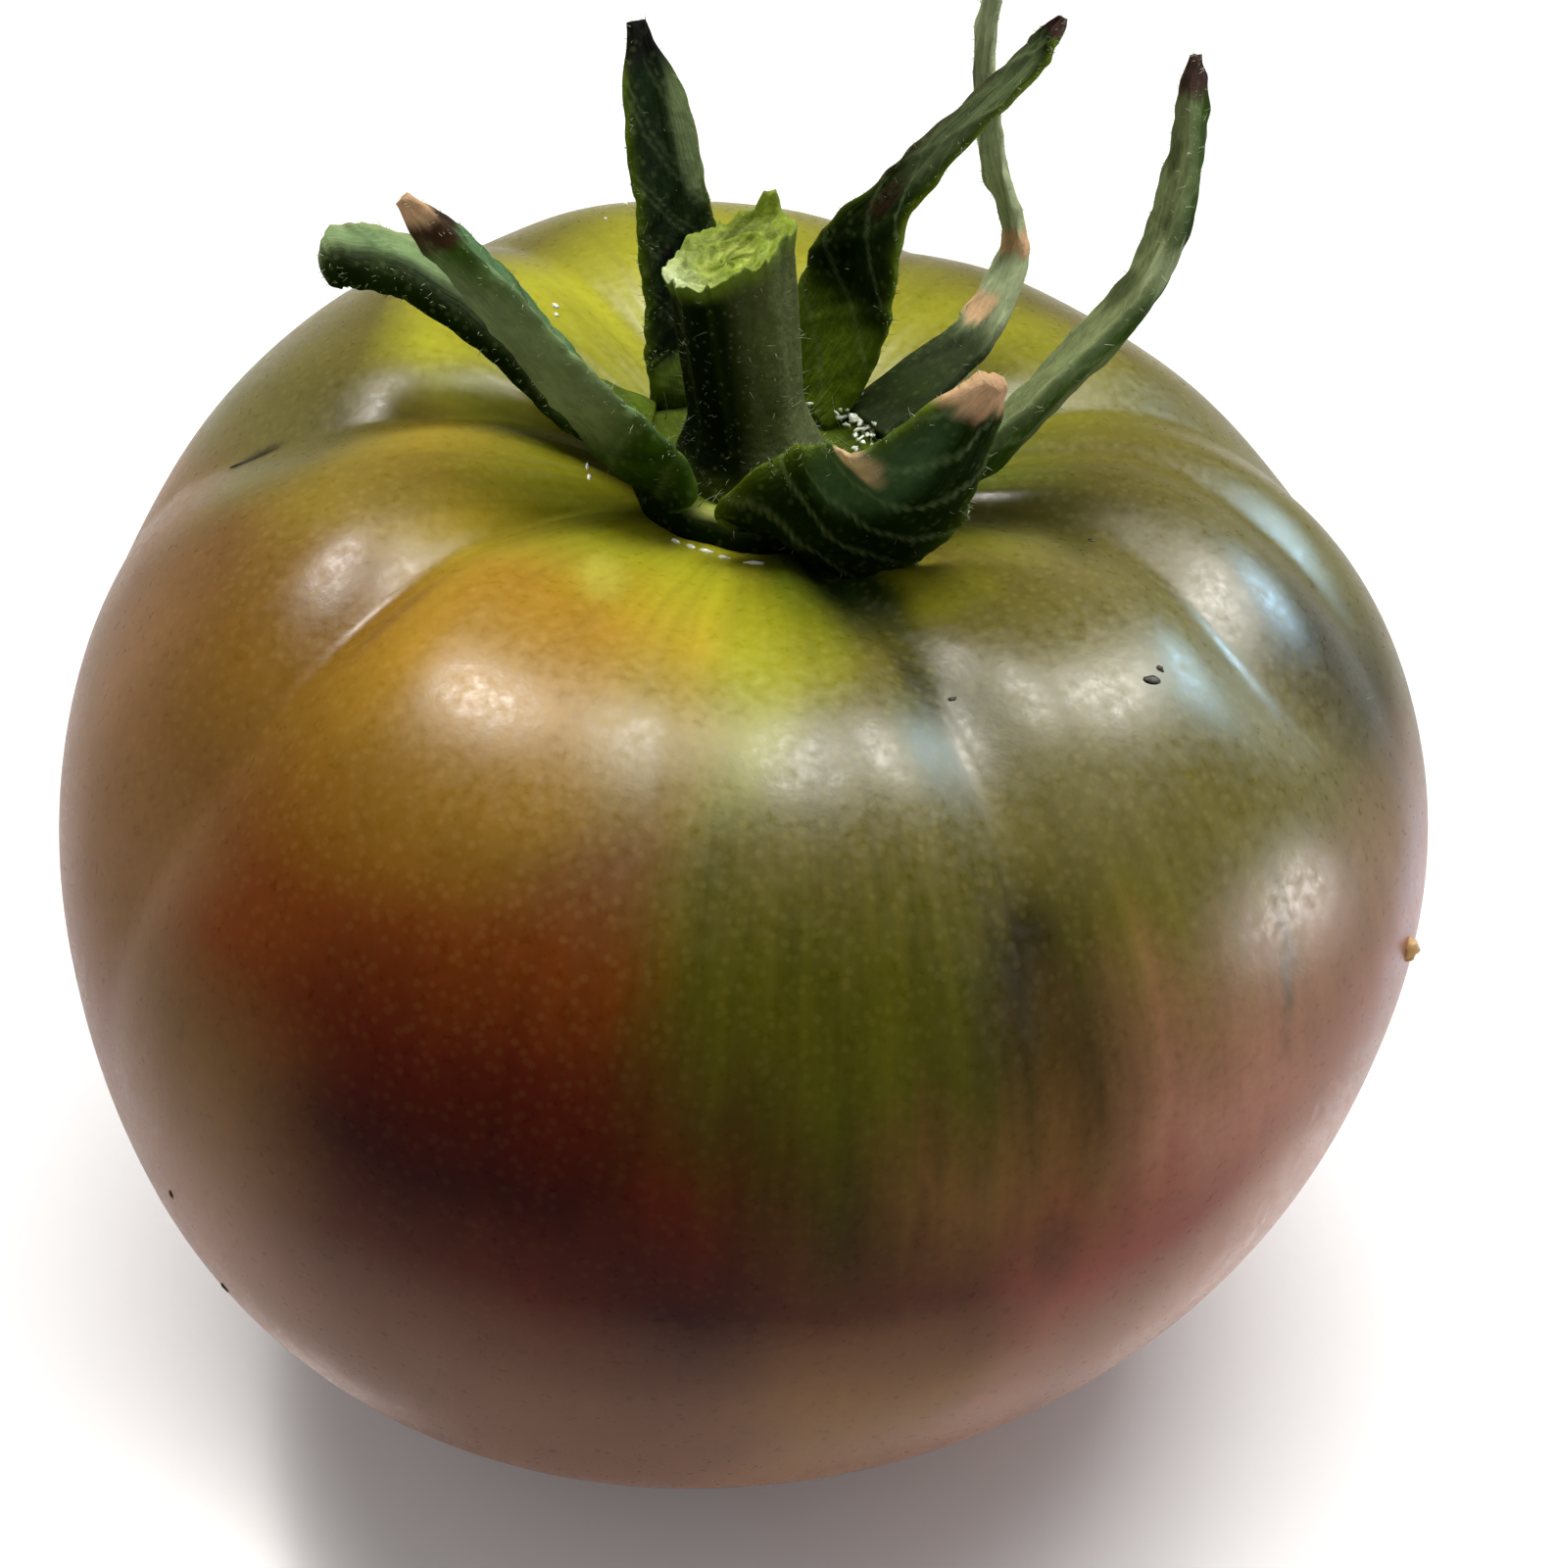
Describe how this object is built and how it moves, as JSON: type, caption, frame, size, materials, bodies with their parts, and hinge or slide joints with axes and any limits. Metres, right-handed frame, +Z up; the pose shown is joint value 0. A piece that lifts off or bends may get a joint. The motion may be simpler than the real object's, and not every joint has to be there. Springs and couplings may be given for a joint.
{
  "type": "tomato",
  "caption": "Ripening ribbed heirloom tomato, olive shoulders over red-brown, resting on its blossom end with a green calyx and a short cut stem.",
  "frame": {"origin": "middle of the whole tomato's plan, at the level of the flat spot that it rests on", "axes": "+Z up through the calyx, which is the longest extent; +X to the right and +Y away from someone who faces the front sepal"},
  "size_m": [0.0866, 0.0898, 0.0951],
  "materials": {
    "skin": "satin",
    "calyx": "matte",
    "stem": "matte"
  },
  "bodies": {
    "root": {"fruit": "skin", "calyx_hub": "calyx", "stem_stub": "stem", "sepal_left_back": "calyx", "sepal_left": "calyx", "sepal_back_left": "calyx", "sepal_back_right": "calyx", "sepal_right_back": "calyx", "sepal_right": "calyx", "sepal_front": "calyx"}
  },
  "joints": []
}
